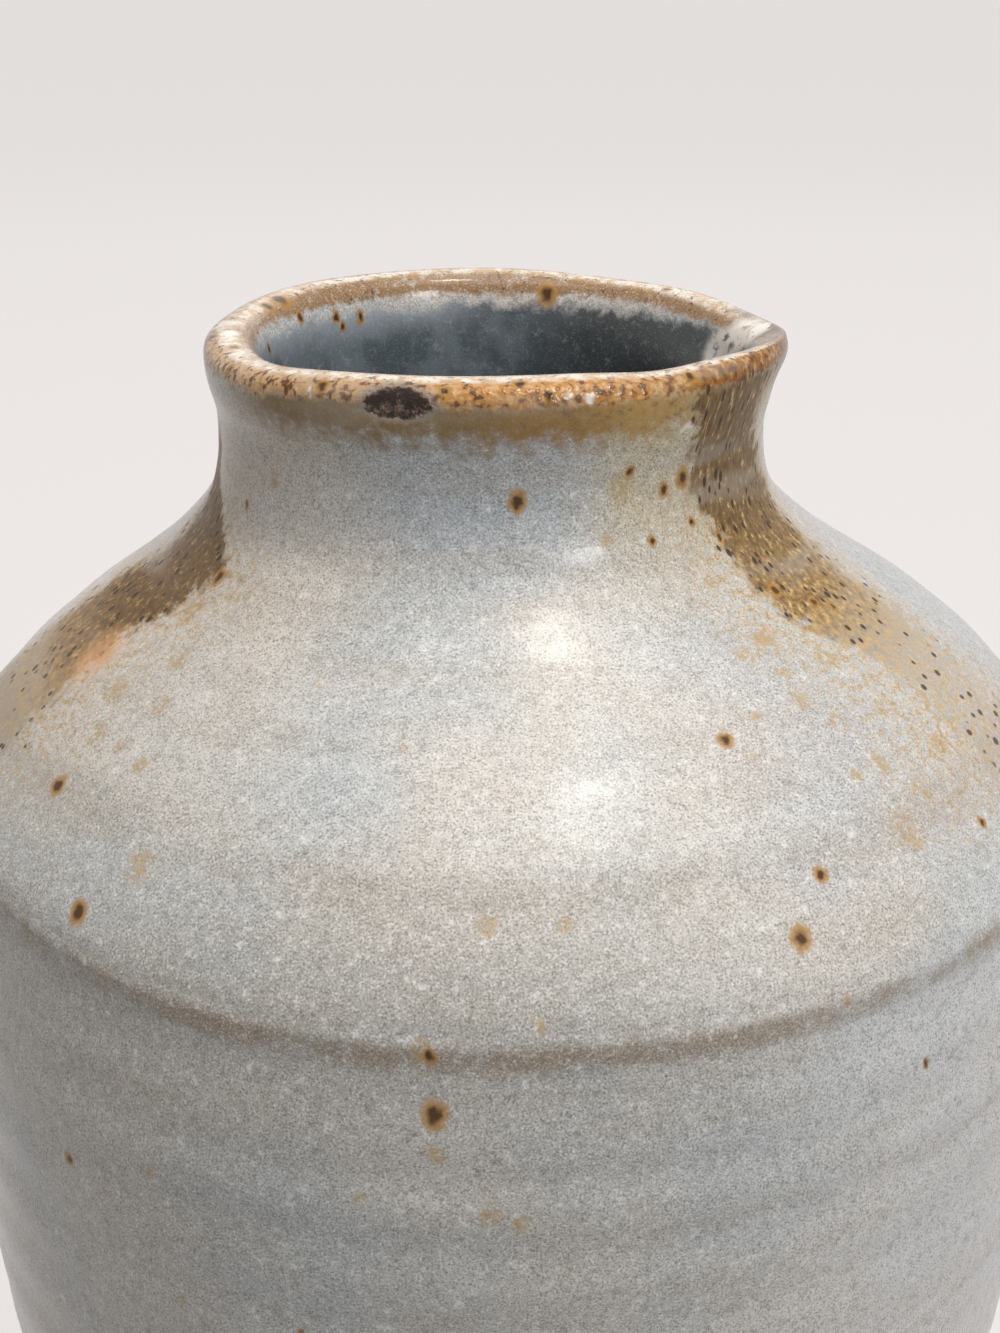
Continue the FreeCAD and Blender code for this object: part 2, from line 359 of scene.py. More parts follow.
def cloud(finish, place, size, detail=2, roughness=0.5):
    """A cloudy mask from 0 to 1, with patches of about that size in millimetres."""
    sockets = {"Vector": place, "Scale": 1 / size, "Detail": detail, "Roughness": roughness}
    return finish.node("ShaderNodeTexNoise", {}, sockets, "Fac")


def ramp(finish, value, start, end):
    """0 before start, 1 past end and smooth between. A start above its end turns it round."""
    settings = {"interpolation_type": "SMOOTHSTEP"}
    return finish.node("ShaderNodeMapRange", settings, {"Value": value, 1: start, 2: end})


def tint(finish, mask, under, over):
    """The colour under the mask, covered by the other as far as the mask says."""
    return finish.node("ShaderNodeMix", {"data_type": "RGBA"}, {0: mask, 6: under, 7: over}, 2)


def stretched(finish, place, shares):
    """The place with its axes scaled, for a pattern that is drawn out."""
    return finish.node("ShaderNodeVectorMath", {"operation": "MULTIPLY"}, {0: place, 1: shares})


def surface(finish, colour, roughness, height, depth):
    """Feeds a Principled shader. The height is a relief from 0 to 1 and depth its size in metres."""
    shader = finish.tree.nodes["Principled BSDF"]
    relief = finish.node("ShaderNodeBump", {}, {"Strength": 1, "Distance": depth, "Height": height}, "Normal")
    finish.feed(shader, {"Base Color": colour, "Roughness": roughness, "Normal": relief})
    return shader


place, (_, _, up) = place_in_mm(bare_clay)
grog = cloud(bare_clay, place, 0.5, 3, 0.6)
toast = cloud(bare_clay, place, 14, 3)
clay_tone = tint(bare_clay, ramp(bare_clay, toast, 0.35, 0.65), fired(178, 152, 124), fired(158, 120, 88))
clay_tone = tint(bare_clay, ramp(bare_clay, grog, 0.62, 0.72), clay_tone, fired(205, 190, 168))
iron = cloud(bare_clay, place, 0.9, 1)
clay_tone = tint(bare_clay, ramp(bare_clay, iron, 0.68, 0.74), clay_tone, fired(84, 54, 36))
worn = ramp(bare_clay, up + grog * 0.8, 1.3, 0.5)
clay_tone = tint(bare_clay, worn * 0.6, clay_tone, fired(196, 172, 144))
clay_relief = grog * 0.6 + cloud(bare_clay, place, 0.18, 2) * 0.4
surface(bare_clay, clay_tone, 0.86 - worn * 0.25, clay_relief, 0.12 * mm)
foot_ring.data.materials.append(bare_clay.owner)
keep(foot_ring, "foot_ring")

# Foot slip
# A thin layer of slip, which is clay stirred with water. It glues the foot ring to the scored base of the
# bowl and is squeezed out a little at its edge.
slip_low, slip_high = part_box("foot_slip")
slip_thickness = slip_high.z - slip_low.z
slip_squeeze = 0.25 * mm
slip_edge = foot_radius + slip_squeeze
foot_slip_edge = [
    (foot_radius, slip_low.z), (slip_edge, slip_low.z), (slip_edge, slip_high.z), (foot_radius, slip_high.z),
]
foot_slip = turned_piece(
    "foot_slip_layer",
    [
        (foot_slip_edge, []),
        *straight((foot_radius, slip_high.z), (foot_inside, slip_high.z), (foot_inside, slip_low.z),
                  (foot_radius, slip_low.z)),
    ],
)
dried_slip = Finish(bpy.data.materials, "joining_slip")
place = place_in_mm(dried_slip)[0]
grain = cloud(dried_slip, place, 0.4, 3)
slip_tone = tint(dried_slip, ramp(dried_slip, grain, 0.4, 0.65), fired(150, 118, 90), fired(118, 84, 58))
surface(dried_slip, slip_tone, 0.8 + grain * 0.1, grain, 0.08 * mm)
foot_slip.data.materials.append(dried_slip.owner)
keep(foot_slip, "foot_slip")

# Lower bowl
# The floor and the wall of the belly, thrown as one deep bowl of stoneware. Its rim is stepped to lap the
# upper bowl, and both rims swell a little where they were pressed together. The wall keeps the rings of the
# fingers.
bowl_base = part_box("lower_bowl")[0].z
belly_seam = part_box("belly_slip")[0].z
seam_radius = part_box("belly_slip")[1].x
coil_low, coil_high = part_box("belly_coil")
coil_seat = coil_high.x
belly_radius = 84.6 * mm
belly_step = 78.4 * mm
belly_inside = 74.4 * mm
belly_lap = 1.6 * mm
base_radius = 48.5 * mm
well_top = bowl_base + 1.5 * mm
bowl_floor = bowl_base + 9.5 * mm
inner_radius = 78.1 * mm
glaze_meeting = belly_seam + slip_thickness / 2
glaze_skin = 0.04 * mm
ridge = 0.3 * mm
bowl_step = 1.3 * mm


def steered(start, end, shares):
    """Points that steer a curve, at shares of the way across and up from one corner to another."""
    width, rise = end[0] - start[0], end[1] - start[1]
    return [(start[0] + width * across, start[1] + rise * up) for across, up in shares]


lower_outer = steered(
    (0, bowl_base),
    (belly_radius, belly_seam),
    [(0.745, 0.05), (0.912, 0.175), (0.969, 0.34), (0.983, 0.535), (0.993, 0.7), (1.0, 0.84), (0.983, 0.935)],
)
lower_inner = steered(
    (0, bowl_floor),
    (inner_radius, coil_low.z),
    [
        (0.975, 0.93), (1.0, 0.82), (0.992, 0.67), (0.982, 0.49), (0.962, 0.285), (0.888, 0.105),
        (0.7, 0.012), (0.36, 0),
    ],
)
finger_rings = [
    (124 * mm, 2.6 * mm, 0.12 * mm), (117 * mm, 2.6 * mm, -0.28 * mm), (107 * mm, 3.5 * mm, -0.36 * mm),
    (95 * mm, 3.5 * mm, -0.34 * mm), (83 * mm, 3.2 * mm, -0.22 * mm), (71 * mm, 3.2 * mm, -0.22 * mm),
    (59 * mm, 3.0 * mm, -0.2 * mm), (47 * mm, 2.6 * mm, -0.2 * mm),
]
inner_rings = [((30 + 11 * ring) * mm, 3 * mm, -0.5 * mm) for ring in range(9)]
rim_swell = seam_radius + ridge
seam_skin = seam_radius + glaze_skin
lap_top = belly_seam + belly_lap
base_edge = 0.6 * mm
lower_bowl = turned_piece(
    "thrown_lower_bowl",
    [
        ([(0, well_top), (foot_inside * 0.5, well_top), (foot_inside, bowl_base)], []),
        *straight((foot_inside, bowl_base), (base_radius - base_edge, bowl_base)),
        (
            [(base_radius - base_edge, bowl_base), (base_radius, bowl_base + base_edge / 3), *lower_outer,
             (rim_swell + 0.1 * mm, belly_seam - 4.5 * mm), (rim_swell - 0.15 * mm, belly_seam - 2.5 * mm),
             (rim_swell, belly_seam - 0.8 * mm), (rim_swell, glaze_meeting)],
            finger_rings,
        ),
        *straight((rim_swell, glaze_meeting), (seam_skin, glaze_meeting), (seam_skin, belly_seam),
                  (belly_step, belly_seam), (belly_step, lap_top), (coil_seat, lap_top),
                  (coil_seat, coil_low.z), (belly_inside, coil_low.z)),
        ([(belly_inside, coil_low.z), *lower_inner, (0, bowl_floor)], inner_rings),
    ],
    step=bowl_step,
)
keep(lower_bowl, "lower_bowl")


# Belly slip
# The slip in the lapped seam between the two bowls: flat on the outer half of the rim, up the step, and flat
# on the inner half. The glaze covers its edge.
def lapped_slip(name, inside, step, outside, base, lap):
    """A layer of slip that follows the step of a lapped seam."""
    corners = [
        (outside, base),
        (outside, base + slip_thickness),
        (step + slip_thickness, base + slip_thickness),
        (step + slip_thickness, base + lap + slip_thickness),
        (inside, base + lap + slip_thickness),
        (inside, base + lap),
        (step, base + lap),
        (step, base),
    ]
    return turned_piece(name, straight(*corners, corners[0]))


belly_slip = lapped_slip("belly_slip_layer", coil_seat, belly_step, seam_radius, belly_seam, belly_lap)
belly_slip.data.materials.append(dried_slip.owner)
keep(belly_slip, "belly_slip")

# Belly coil
# A coil of clay pressed over the belly seam inside the jar and smoothed by the fingers. It lies in a shallow
# groove of the two bowls and is under the same glaze.
coil_front = belly_inside - 3.2 * mm
coil_back = coil_seat - 0.1 * mm
coil_round = (coil_high.z - coil_low.z) * 0.05
belly_coil = turned_piece(
    "pressed_belly_coil",
    [
        *straight((belly_inside, coil_low.z), (coil_back, coil_low.z), (coil_back, coil_high.z),
                  (belly_inside, coil_high.z)),
        (
            [(belly_inside, coil_high.z), (coil_front, coil_high.z - coil_round),
             (coil_front, coil_low.z + coil_round), (belly_inside, coil_low.z)],
            [],
        ),
    ],
)
keep(belly_coil, "belly_coil")

# Upper bowl
# The shoulder, thrown of the same stoneware as a shallow bowl. It was opened at its foot and set upside down
# on the lower bowl while both were still soft enough to join.
upper_base = belly_seam + slip_thickness
neck_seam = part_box("neck_slip")[0].z
neck_seam_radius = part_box("neck_slip")[1].x
neck_step = 40.3 * mm
neck_inside = 37.1 * mm
neck_lap = 1.4 * mm
neck_meeting = neck_seam + slip_thickness / 2
neck_skin = neck_seam_radius + 0.12 * mm
neck_slant = Vector((0.69, 0.72)) * 2.6 * mm
upper_outer = steered(
    (neck_seam_radius, upper_base),
    (seam_radius, neck_seam),
    [(0.984, 0.09), (0.864, 0.28), (0.64, 0.512), (0.314, 0.735)],
)
upper_inner = steered(
    (neck_inside, upper_base),
    (belly_inside, neck_seam),
    [(0.045, 0.91), (0.18, 0.76), (0.46, 0.6), (0.75, 0.39), (0.95, 0.22)],
)
neck_rings = [
    (176 * mm, 3 * mm, -0.4 * mm), (167.5 * mm, 3.2 * mm, -0.35 * mm), (158 * mm, 3.4 * mm, 0.6 * mm),
]
neck_edge = neck_skin + swelling(neck_rings, neck_meeting)
shoulder_rings = [*neck_rings, (151 * mm, 2.2 * mm, 0.2 * mm), (147 * mm, 2.2 * mm, -0.18 * mm)]
cover = belly_step + slip_thickness
cover_top = upper_base + belly_lap
neck_lap_top = neck_seam + neck_lap
under_skin = neck_seam_radius - 0.5 * mm
rim_turn = 82.1 * mm
upper_bowl = turned_piece(
    "thrown_upper_bowl",
    [
        (
            [(rim_swell, glaze_meeting), (rim_swell, belly_seam + 1.0 * mm),
             (rim_turn, belly_seam + 2.2 * mm), *upper_outer,
             (neck_skin + neck_slant.x, neck_meeting - neck_slant.y), (neck_skin, neck_meeting)],
            shoulder_rings,
        ),
        *straight((neck_edge, neck_meeting), (under_skin, neck_meeting), (under_skin, neck_seam),
                  (neck_step, neck_seam), (neck_step, neck_lap_top), (neck_inside, neck_lap_top)),
        ([(neck_inside, neck_lap_top), *upper_inner, (belly_inside, coil_high.z)], []),
        *straight((belly_inside, coil_high.z), (coil_seat, coil_high.z), (coil_seat, cover_top),
                  (cover, cover_top), (cover, upper_base), (seam_skin, upper_base),
                  (seam_skin, glaze_meeting), (rim_swell, glaze_meeting)),
    ],
)
keep(upper_bowl, "upper_bowl")

# Neck slip
# The slip in the lapped seam between the shoulder and the collar. It follows the step of the seam, and the
# glaze runs over its edge and hides it.
neck_slip = lapped_slip("neck_slip_layer", neck_inside, neck_step, under_skin, neck_seam, neck_lap)
neck_slip.data.materials.append(dried_slip.owner)
keep(neck_slip, "neck_slip")

# Neck collar
# The neck and lip, thrown from a ring of clay on the shoulder, drawn in at the waist and rolled out to a
# thick lip. The neck leans a little, and the lip opens wider and sharper on the right than on the left.
neck_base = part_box("neck_collar")[0].z
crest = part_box("neck_collar")[1].z
waist = 37.8 * mm
waist_inside = 32.2 * mm
lip_outside = 41.3 * mm
lip_crest = 37.0 * mm
lip_inside = 32.1 * mm
lip_base = crest - 7.4 * mm

# How the lip departs from round: bearing and spread in degrees and rise in millimetres, then the flare's and
# the crater's own
lip_swells = [
    (-58, 24, -1.9), (-100, 20, -1.1), (34, 12, -0.6), (-20, 22, -0.3), (-150, 32, -0.05), (106, 26, -2.0),
    (150, 20, -0.8),
]
flare_bearing, flare_spread, flare_reach, flare_drop = 88, 40, 2.6, 1.8
scar_bearing, scar_height, scar_width, scar_depth = -16.5, 197.2, 4.6, 0.55
scar_arc, scar_rise = 6.3, 2.2


def hand_rolled(place):
    """The collar's own shape: the lip dips and swells as it goes round and spreads into a thin flare on the
    right, and a crater of burst clay breaks its front."""
    bearing = math.degrees(math.atan2(place.x, -place.y))
    height = place.z / mm
    radius = math.hypot(place.x, place.y) / mm
    lip = eased(height, 186, 197)
    swell = 0
    for middle, spread, rise in lip_swells:
        swell += rise * hill((bearing - middle + 180) % 360 - 180, 0, spread)
    right = hill(bearing, flare_bearing, flare_spread)
    left = hill(bearing, -flare_bearing, flare_spread)
    reach = right * lip * share(radius, 40.8, 36.8) * flare_reach
    drop = right * lip * share(radius, 39.6, 33.6) * flare_drop
    tuck = right * (0.55 * hill(height, 183, 4.5) - hill(height, 193, 3.6))
    tuck += left * (0.3 * hill(height, 184, 6) - 0.8 * lip)
    tuck *= share(radius, 36, 38)
    away = math.hypot((bearing - scar_bearing) / scar_arc, (height - scar_height) / scar_rise)
    crater = scar_depth * max(1 - away * away, 0) if radius > 38 else 0
    grown = 1 + (reach + tuck - crater) / max(radius, 1)
    return hand_set(Vector((place.x * grown, place.y * grown, place.z + (swell * lip - drop) * mm)))


neck_outer = [
    (neck_skin - neck_slant.x, neck_meeting + neck_slant.y),
    *steered((waist, neck_base), (neck_seam_radius, lip_base), [(0.15, 0.33)]),
    *steered((waist, neck_base), (lip_outside, lip_base), [(0.05, 0.57), (0.17, 0.8), (0.6, 0.96)]),
    *steered((lip_crest, lip_base), (lip_outside, crest), [(1.02, 0.5), (0.93, 1)]),
]
neck_inner = [
    *steered((lip_crest, lip_base), (lip_inside, crest), [(0.6, 1), (1, 0.5)]),
    *steered((waist_inside, neck_base), (neck_inside, lip_base), [(0, 0.65), (0.15, 0.38), (0.7, 0.2)]),
]
collar_foot = neck_base + neck_lap
neck_cover = neck_step + slip_thickness
neck_collar = turned_piece(
    "thrown_neck_collar",
    [
        ([(neck_skin, neck_meeting), *neck_outer, (lip_crest, crest)], neck_rings),
        ([(lip_crest, crest), *neck_inner, (neck_inside, collar_foot)], []),
        *straight((neck_inside, collar_foot), (neck_cover, collar_foot), (neck_cover, neck_base),
                  (under_skin, neck_base), (under_skin, neck_meeting), (neck_edge, neck_meeting)),
    ],
    hand_rolled,
)
keep(neck_collar, "neck_collar")

# Glaze
# One coat of pale grey glaze over the jar, inside and out. The kiln left iron spots in it, burnt the lip, and
# drew two brown bands of thin glaze with pinholes down from the neck. The coat ends above the foot on bare
# clay.
glaze = Finish(bpy.data.materials, "glazed_stoneware")
place, (across, back, up) = place_in_mm(glaze)
radius = (across * across + back * back).math("SQRT")
bearing = across.math("ARCTAN2", back * -1) * math.degrees(1)
rightward = across / radius
facing = glaze.node("ShaderNodeNewGeometry", {}, {}, "Normal")
level = stretched(glaze, place, (1, 1, 0))
outward = glaze.node("ShaderNodeVectorMath", {"operation": "DOT_PRODUCT"}, {0: facing, 1: level}, "Value")
outward = outward / radius
facing_up = glaze.node("ShaderNodeSeparateXYZ", {}, {0: facing}, "Z")
outside = ramp(glaze, outward, 0, 0.2)

# Clouds of warmer and cooler grey, bluer on the neck, then painted light and painted shade by side and height
grain = cloud(glaze, place, 0.26, 2, 0.6)
fleck = cloud(glaze, place, 1.5, 5, 0.8)
mottle = cloud(glaze, place, 7, 3, 0.6)
drift = cloud(glaze, place, 34, 2)
glaze_tone = tint(glaze, ramp(glaze, drift, 0.38, 0.62), fired(203, 206, 207), fired(219, 211, 203))
glaze_tone = tint(glaze, ramp(glaze, mottle, 0.45, 0.66) * 0.4, glaze_tone, fired(228, 227, 224))
neck = ramp(glaze, up, 168, 184) * outside
glaze_tone = tint(glaze, neck * 0.7, glaze_tone, fired(184, 190, 196))
# The left of the neck is paler and warmer: partly a warmer glaze, partly painted light
glaze_tone = tint(glaze, neck * ramp(glaze, rightward, -0.47, -0.81) * 0.85, glaze_tone, fired(226, 219, 210))
# Painted shade: the lower shoulder and the belly wall are darkened from the front round to the left, less so
# low down and on the far left
painted_shade = ramp(glaze, up, 156, 137) * ramp(glaze, rightward, 0.67, 0) * outside
painted_shade = painted_shade * (1 - 0.45 * ramp(glaze, up, 134, 118)) * (1 - 0.65 * ramp(glaze, rightward, -0.4, -0.9))
glaze_tone = tint(glaze, painted_shade * 0.75, glaze_tone, fired(176, 174, 170))
# Painted cool light: the right of the shoulder turns a cooler blue-grey, the colour of the window's light on
# that side
painted_cool_light = ramp(glaze, rightward, 0.3, 0.7) * ramp(glaze, up, 138, 150) * outside
glaze_tone = tint(glaze, painted_cool_light * 0.45, glaze_tone, fired(188, 193, 202))
# Painted light: the left of the shoulder is painted paler and warmer, as if lit
painted_warm_light = ramp(glaze, rightward, -0.3, -0.62) * ramp(glaze, up, 144, 154) * outside
glaze_tone = tint(glaze, painted_warm_light * 0.5, glaze_tone, fired(232, 221, 208))
# Painted light: the belly wall below the ridge is painted paler on the right, towards the lamps
painted_light_right = ramp(glaze, up, 140, 128) * ramp(glaze, rightward, 0.24, 0.74) * outside
glaze_tone = tint(glaze, painted_light_right * 0.6, glaze_tone, fired(238, 236, 236))
glaze_tone = tint(glaze, neck * ramp(glaze, rightward, 0.14, 0.46) * 0.8, glaze_tone, fired(222, 207, 172))

# Brown bands of thin glaze on the right and the left of the neck, with an ochre fringe on their front side
patch = cloud(glaze, place, 2.4, 3, 0.65)
side = bearing + (patch - 0.5) * 14
right_start = 34 + 5 * ramp(glaze, up, 197, 188) + 6 * ramp(glaze, up, 184, 175)
right_start = right_start + 12 * ramp(glaze, up, 172, 158)
right_end = 61 + 13 * ramp(glaze, up, 193, 177) - 3 * ramp(glaze, up, 166, 154)
right_band = ramp(glaze, side - right_start, -1, 3) * ramp(glaze, side - right_end, 5, -3)
right_band = right_band * (1 - 0.72 * ramp(glaze, up, 168, 155)) * ramp(glaze, up, 136, 152)
left_start = -74 + 19 * ramp(glaze, up, 181, 171) - 9 * ramp(glaze, up, 171, 160)
left_end = -79 - 7 * ramp(glaze, up, 170, 162) - 12 * ramp(glaze, up, 174, 181)
left_band = ramp(glaze, side - left_start, 1, -3) * ramp(glaze, side - left_end, -6, 2)
left_band = left_band * (1 - 0.45 * ramp(glaze, up, 160, 148))
left_band = left_band * ramp(glaze, up, 134, 150) * ramp(glaze, up, 190, 183)
band = right_band.math("MAXIMUM", left_band) * outside
right_fringe = ramp(glaze, side - right_start, -24, 0) * ramp(glaze, side - right_end, 14, 0)
left_fringe = ramp(glaze, side - left_start, 22, 0) * ramp(glaze, side - left_end, -12, 0)
fringe = right_fringe.math("MAXIMUM", left_fringe)
fringe = fringe * ramp(glaze, up, 138, 152) * ramp(glaze, up, 192, 180) * outside
drawn = glaze.node("ShaderNodeCombineXYZ", {}, {"X": bearing * 0.7, "Y": (radius - up) * 0.46})
streaks = cloud(glaze, drawn, 0.9, 4, 0.7)
fringe_tone = tint(glaze, ramp(glaze, streaks, 0.44, 0.66), fired(222, 206, 178), fired(196, 160, 104))
glaze_tone = tint(glaze, fringe * ramp(glaze, streaks, 0.37, 0.58) * 0.88, glaze_tone, fringe_tone)
band_tone = tint(glaze, ramp(glaze, streaks, 0.36, 0.58), fired(112, 78, 26), fired(182, 146, 84))
deep = ramp(glaze, up, 163, 180) * right_band * 0.6 + ramp(glaze, up, 152, 164) * left_band * 0.72
band_tone = tint(glaze, deep, band_tone, fired(74, 44, 4))
bright = ramp(glaze, streaks, 0.56, 0.65) * (0.85 - 0.3 * left_band)
band_tone = tint(glaze, bright, band_tone, fired(222, 196, 144))
band_tone = tint(glaze, ramp(glaze, up, 168, 157) * right_band * 0.6, band_tone, fired(208, 192, 162))
glaze_tone = tint(glaze, band * 0.95, glaze_tone, band_tone)

# Burnt lip: an ochre wash on its outside, beads of orange and brown along the outer edge, pale cream on the
# crest, and brown again on the end of the flare
lip_rag = up + (patch - 0.5) * 9
wash_top = ramp(glaze, (bearing + 84).math("ABSOLUTE"), 18, 42)
wash = ramp(glaze, lip_rag, 189.5, 194.5) * outside * wash_top
wash_tone = tint(glaze, ramp(glaze, rightward, -0.2, 0.14), fired(142, 112, 56), fired(160, 116, 36))
wash_tone = tint(glaze, ramp(glaze, rightward, 0.17, 0.44) * 0.6, wash_tone, fired(204, 166, 96))
wash_tone = tint(glaze, ramp(glaze, fleck, 0.5, 0.34) * 0.7, wash_tone, fired(118, 76, 26))
glaze_tone = tint(glaze, wash * 0.93 * (1 - right_band), glaze_tone, wash_tone)
left_dip = ramp(glaze, (bearing + 62).math("ABSOLUTE"), 40, 0)
right_dip = ramp(glaze, (bearing - 108).math("ABSOLUTE"), 40, 0)
crest_height = 197.6 - 1.6 * left_dip - 1.2 * right_dip
lip = ramp(glaze, up - crest_height + (patch - 0.5) * 3, -1.4, -0.2)
beads = cloud(glaze, place, 1.15, 2, 0.6)
edge = ramp(glaze, outward, 0.15, 0.45) * lip
lip_tone = tint(glaze, ramp(glaze, patch, 0.43, 0.57), fired(234, 221, 203), fired(200, 160, 106))
lip_tone = tint(glaze, ramp(glaze, outward, -0.3, -0.6), lip_tone, fired(158, 116, 64))
edge_tone = tint(glaze, ramp(glaze, rightward, 0, -0.5) * 0.5, fired(200, 138, 60), fired(222, 194, 156))
edge_tone = tint(glaze, ramp(glaze, rightward, 0.35, 0.65) * 0.7, edge_tone, fired(142, 92, 36))
lip_tone = tint(glaze, edge, lip_tone, edge_tone)
lip_tone = tint(glaze, ramp(glaze, beads, 0.5, 0.62) * edge, lip_tone, fired(122, 70, 22))
lip_tone = tint(glaze, ramp(glaze, beads, 0.46, 0.36) * edge * 0.55, lip_tone, fired(226, 196, 148))
lip_tone = tint(glaze, ramp(glaze, beads, 0.6, 0.68), lip_tone, fired(96, 60, 28))
glaze_tone = tint(glaze, lip * 0.95, glaze_tone, lip_tone)
burnt_end = ramp(glaze, rightward, 0.86, 0.96) * ramp(glaze, radius + patch * 3, 36.8, 38.4)
burnt_end = burnt_end * ramp(glaze, up, 192, 195)
glaze_tone = tint(glaze, burnt_end * (0.9 - 0.5 * edge), glaze_tone, fired(120, 86, 46))

# Inside the jar the coat is slate grey, darker than outside; part of that darkness is painted shade of the
# hollow
inside = ramp(glaze, outward, 0.05, -0.2) * ramp(glaze, up + (patch - 0.5) * 5, 196.4, 194)
inside = inside.math("MAXIMUM", ramp(glaze, facing_up, 0.2, 0.5) * ramp(glaze, up, 70, 60))
slate_and_painted_light_and_shade = tint(glaze, ramp(glaze, mottle, 0.4, 0.62), fired(93, 103, 110), fired(124, 134, 141))
# Painted light: paler near the rim on the left side of the mouth
painted_rim_light = ramp(glaze, up, 190, 195) * ramp(glaze, across, 2, -14)
slate_and_painted_light_and_shade = tint(glaze, painted_rim_light * 0.7, slate_and_painted_light_and_shade, fired(180, 188, 196))
# Painted shade: darker on the right side of the inside
slate_and_painted_light_and_shade = tint(glaze, ramp(glaze, across, -6, 16) * 0.85, slate_and_painted_light_and_shade, fired(71, 75, 76))
glaze_tone = tint(glaze, inside, glaze_tone, slate_and_painted_light_and_shade)

# The brownish belly line, and warmer and cooler turns of the fingers
belly_line_height, soft_line_height = 133.4, 148.5
line_wave = (drift - 0.5) * 3
line_rise = ramp(glaze, (bearing - rise_bearing).math("ABSOLUTE"), rise_spread * 1.8, 0) * ridge_rise
from_line = (up - line_rise - belly_line_height + line_wave).math("ABSOLUTE")
belly_line = ramp(glaze, from_line, 3, 0.3) * outside * ramp(glaze, mottle, 0.32, 0.56)
glaze_tone = tint(glaze, belly_line * 0.68, glaze_tone, fired(166, 142, 114))
from_line = (up - soft_line_height + line_wave).math("ABSOLUTE")
soft_line = ramp(glaze, from_line, 4, 0.5) * ramp(glaze, mottle, 0.4, 0.62) * outside
glaze_tone = tint(glaze, soft_line * 0.35, glaze_tone, fired(178, 160, 140))
turns = cloud(glaze, stretched(glaze, place, (0.03, 0.03, 0.2)), 1, 2)
glaze_tone = tint(glaze, ramp(glaze, turns, 0.5, 0.68) * outside * 0.35, glaze_tone, fired(192, 182, 170))

# Fine grain over all of it
quiet = 1 - 0.75 * inside - 0.35 * lip - 0.85 * wash - 0.8 * band - 0.3 * fringe
glaze_tone = tint(glaze, ramp(glaze, grain, 0.52, 0.3) * 0.75 * quiet, glaze_tone, fired(116, 114, 108))
glaze_tone = tint(glaze, ramp(glaze, grain, 0.52, 0.74) * 0.65 * quiet, glaze_tone, fired(252, 252, 250))
glaze_tone = tint(glaze, ramp(glaze, fleck, 0.47, 0.32) * 0.55 * quiet, glaze_tone, fired(134, 132, 126))
glaze_tone = tint(glaze, ramp(glaze, fleck, 0.53, 0.7) * 0.7 * quiet, glaze_tone, fired(250, 249, 247))

# Pinholes in the bands
hole_spacing = 1.25
hole_sockets = {"Vector": drawn, "Scale": 1 / hole_spacing, "Randomness": 1}
hole_reach = glaze.node("ShaderNodeTexVoronoi", {}, hole_sockets, "Distance")
hole_chance = glaze.node("ShaderNodeTexVoronoi", {}, hole_sockets, "Color")
hole_chance = glaze.node("ShaderNodeSeparateXYZ", {}, {0: hole_chance}, "X")
hole = ramp(glaze, hole_reach - 0.24 * hole_chance, 0.16, 0.02) * ramp(glaze, hole_chance, 0.2, 0.3)
hole = hole * ramp(glaze, band + fringe * 0.35, 0.3, 0.6)
glaze_tone = tint(glaze, hole * 0.92, glaze_tone, fired(58, 36, 18))

# Marks where the photograph shows them, with a painted glow and painted highlights among them: across and
# down in its pixels, and the mark's radius in millimetres
iron_in_photo = [
    (517, 502, 1.2), (630, 472, 0.7), (663, 490, 0.8), (682, 478, 1.1), (692, 522, 0.6), (720, 537, 0.7),
    (219, 577, 1.1), (775, 590, 1.0), (801, 938, 1.35), (58, 786, 1.3), (78, 912, 1.3), (726, 740, 1.1),
    (434, 1115, 1.5), (821, 875, 0.9), (982, 823, 0.8), (247, 505, 0.6), (652, 541, 0.6), (430, 1057, 0.8),
    (69, 1158, 0.8), (926, 1063, 0.6), (547, 294, 1.6), (444, 391, 0.8), (300, 317, 0.8), (336, 317, 0.8),
    (360, 317, 0.8), (343, 327, 0.6), (269, 349, 0.7), (279, 299, 1.9), (267, 306, 1.4), (520, 384, 0.9),
    (549, 396, 0.9), (690, 376, 1.0), (234, 347, 1.2), (211, 338, 1.2), (229, 370, 0.9), (777, 366, 1.0),
    (667, 289, 0.9), (322, 386, 0.9), (814, 602, 0.9), (832, 606, 0.7),
]
ochre_in_photo = [
    (621, 488, 1.9), (275, 480, 1.1), (141, 765, 1.5), (118, 748, 1.0), (755, 716, 0.9), (752, 755, 1.0),
    (855, 775, 1.2), (487, 925, 1.5), (565, 925, 1.0), (538, 1027, 1.1), (360, 1200, 1.0), (181, 1300, 1.0),
    (848, 1000, 0.8), (151, 1173, 0.8), (905, 830, 2.4), (940, 745, 2.0), (405, 747, 0.8), (607, 540, 1.0),
    (140, 865, 2.4), (765, 640, 2.6), (711, 583, 1.0), (192, 610, 2.6), (118, 690, 2.2), (320, 683, 0.9),
    (209, 353, 1.4), (868, 680, 1.0), (436, 1155, 1.2), (420, 1050, 1.4), (745, 655, 1.8), (782, 672, 1.4),
    (800, 700, 1.6), (838, 722, 1.6), (880, 764, 1.8), (922, 792, 1.8), (915, 838, 1.6), (826, 655, 2.0),
    (884, 706, 1.8), (178, 660, 1.8), (160, 705, 1.6), (96, 735, 1.8), (490, 1215, 1.6), (520, 1224, 1.4),
]
# Pale marks: partly pale glaze, partly painted highlights below the front of the lip and painted light inside
# the mouth on the right
pale_and_lit_in_photo = [
    (222, 324, 2.4), (229, 333, 1.6), (570, 396, 0.6), (590, 399, 0.7), (738, 336, 4.4), (757, 330, 3.4),
    (716, 352, 3.2), (467, 380, 0.7), (686, 431, 1.1), (309, 391, 0.6),
]
